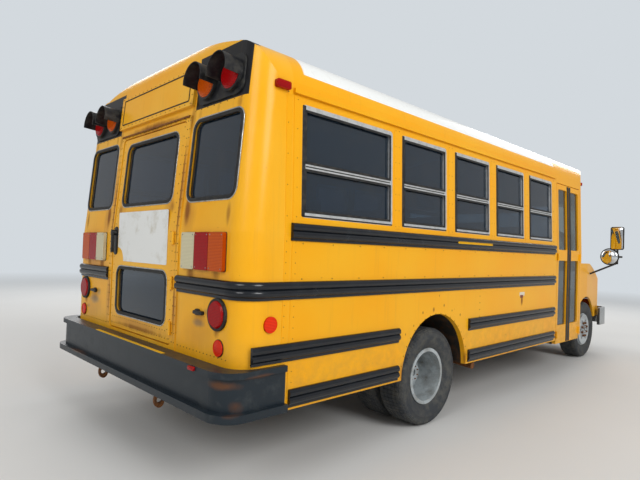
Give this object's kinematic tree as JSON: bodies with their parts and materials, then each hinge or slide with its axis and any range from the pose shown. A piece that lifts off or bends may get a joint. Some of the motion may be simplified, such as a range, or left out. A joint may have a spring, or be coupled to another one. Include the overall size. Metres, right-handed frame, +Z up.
{
  "type": "short school bus",
  "caption": "Short yellow school bus: a van cab and ladder frame carry a wide steel coach body, with hinged doors, lifting hood, steered front wheels and a folding stop arm",
  "frame": {"origin": "ground under the middle of the bus's bounding box", "axes": "+X forward along the bus, +Y to the bus's left, +Z up"},
  "size_m": [6.879, 2.78, 2.6234],
  "materials": {
    "yellow": "gloss, dusty",
    "white_roof": "gloss, dusty",
    "black_trim": "satin",
    "black_plastic": "matt",
    "chassis_black": "dull, rusty",
    "rusty_steel": "rusty",
    "steel": "dull",
    "cast": "dull",
    "rim_grey": "dirty",
    "tyre": "dusty",
    "dark_glass": "tinted",
    "clear_glass": "clear",
    "window_alu": "satin",
    "floor_rubber": "ribbed",
    "seat_vinyl": "vinyl",
    "dash": "grained",
    "red_lens": "moulded",
    "amber_lens": "moulded",
    "clear_lens": "moulded",
    "bright": "polished",
    "sign_red": "reflective"
  },
  "bodies": {
    "chassis": {"rear_shell": "yellow", "side_wall_right": "yellow", "side_wall_left": "yellow", "roof": "white_roof", "front_cap": "yellow", "cab_shell": "yellow", "fenders": "yellow", "grille": "black_plastic", "window_frames": "window_alu", "body_glass": "dark_glass", "cab_glass": "clear_glass", "rub_rails": "black_trim", "frame": "chassis_black", "rear_axle": "cast", "front_suspension": "chassis_black", "floor": "floor_rubber", "wheel_tubs": "chassis_black", "entry_steps": "floor_rubber", "engine": "cast", "driveshaft": "steel", "fuel_tank": "steel", "exhaust": "rusty_steel", "rear_bumper": "black_trim", "tow_eyes": "rusty_steel", "front_bumper": "bright", "warning_panels": "black_trim", "red_lamps": "red_lens", "amber_lamps": "amber_lens", "clear_lamps": "clear_lens", "mirrors": "black_trim", "seat_pads": "seat_vinyl", "seat_frames": "black_trim", "dashboard": "dash", "stop_bracket": "black_trim"},
    "emergency_door": {"emergency_door": "yellow", "emergency_glass": "dark_glass"},
    "entry_rear": {"entry_leaf_rear": "yellow", "entry_glass_rear": "clear_glass"},
    "entry_front": {"entry_leaf_front": "yellow", "entry_glass_front": "clear_glass"},
    "driver_door": {"driver_door": "yellow", "driver_glass": "clear_glass"},
    "hood": {"hood": "yellow"},
    "stop_arm": {"stop_arm": "sign_red"},
    "knuckle_left": {"knuckle_left": "cast"},
    "knuckle_right": {"knuckle_right": "cast"},
    "tie_rod": {"tie_rod": "steel"},
    "front_wheel_left": {"front_rim_left": "rim_grey", "front_tyre_left": "tyre"},
    "front_wheel_right": {"front_rim_right": "rim_grey", "front_tyre_right": "tyre"},
    "rear_wheel_left": {"rear_rim_left": "rim_grey", "rear_tyre_left": "tyre"},
    "rear_wheel_right": {"rear_rim_right": "rim_grey", "rear_tyre_right": "tyre"}
  },
  "joints": [
    {"name": "emergency_door_hinge", "type": "hinge", "parent": "chassis", "child": "emergency_door", "pos_m": [-3.3135, -0.474, 1.4], "axis": [0, 0, 1], "range_deg": [0, 110]},
    {"name": "entry_rear_hinge", "type": "hinge", "parent": "chassis", "child": "entry_rear", "pos_m": [0.9035, -1.231, 1.27], "axis": [0, 0, 1], "range_deg": [-90, 0]},
    {"name": "entry_front_hinge", "type": "hinge", "parent": "chassis", "child": "entry_front", "pos_m": [1.5975, -1.231, 1.27], "axis": [0, 0, 1], "range_deg": [0, 90]},
    {"name": "driver_door_hinge", "type": "hinge", "parent": "chassis", "child": "driver_door", "pos_m": [2.0745, 1.0133, 1], "axis": [0, 0, 1], "range_deg": [-70, 0]},
    {"name": "hood_hinge", "type": "hinge", "parent": "chassis", "child": "hood", "pos_m": [2.6785, 0, 1.2773], "axis": [0, -1, 0], "range_deg": [0, 55]},
    {"name": "stop_arm_hinge", "type": "hinge", "parent": "chassis", "child": "stop_arm", "pos_m": [0.7865, 1.271, 1.25], "axis": [0, 0, 1], "range_deg": [-90, 0]},
    {"name": "steer_right", "type": "hinge", "parent": "chassis", "child": "knuckle_right", "pos_m": [2.5595, -0.8, 0.372], "axis": [0, 0, 1], "range_deg": [-32, 32]},
    {"name": "steer_left", "type": "hinge", "parent": "chassis", "child": "knuckle_left", "pos_m": [2.5595, 0.8, 0.372], "axis": [0, 0, 1], "range_deg": [-32, 32]},
    {"name": "tie_rod_ball_right", "type": "hinge", "parent": "knuckle_right", "child": "tie_rod", "pos_m": [2.4395, -0.8, 0.3], "axis": [0, 0, 1], "range_deg": [-32, 32]},
    {"name": "front_wheel_left_spin", "type": "hinge", "parent": "knuckle_left", "child": "front_wheel_left", "pos_m": [2.5595, 0.876, 0.372], "axis": [0, 1, 0], "continuous": true},
    {"name": "front_wheel_right_spin", "type": "hinge", "parent": "knuckle_right", "child": "front_wheel_right", "pos_m": [2.5595, -0.876, 0.372], "axis": [0, 1, 0], "continuous": true},
    {"name": "rear_wheel_left_spin", "type": "hinge", "parent": "chassis", "child": "rear_wheel_left", "pos_m": [-1.4795, 0.927, 0.372], "axis": [0, 1, 0], "continuous": true},
    {"name": "rear_wheel_right_spin", "type": "hinge", "parent": "chassis", "child": "rear_wheel_right", "pos_m": [-1.4795, -0.927, 0.372], "axis": [0, 1, 0], "continuous": true}
  ],
  "couplings": [
    {"joint": "entry_front_hinge", "follows": "entry_rear_hinge", "ratio": -1},
    {"joint": "steer_left", "follows": "steer_right", "ratio": 1},
    {"joint": "tie_rod_ball_right", "follows": "steer_right", "ratio": -1}
  ]
}
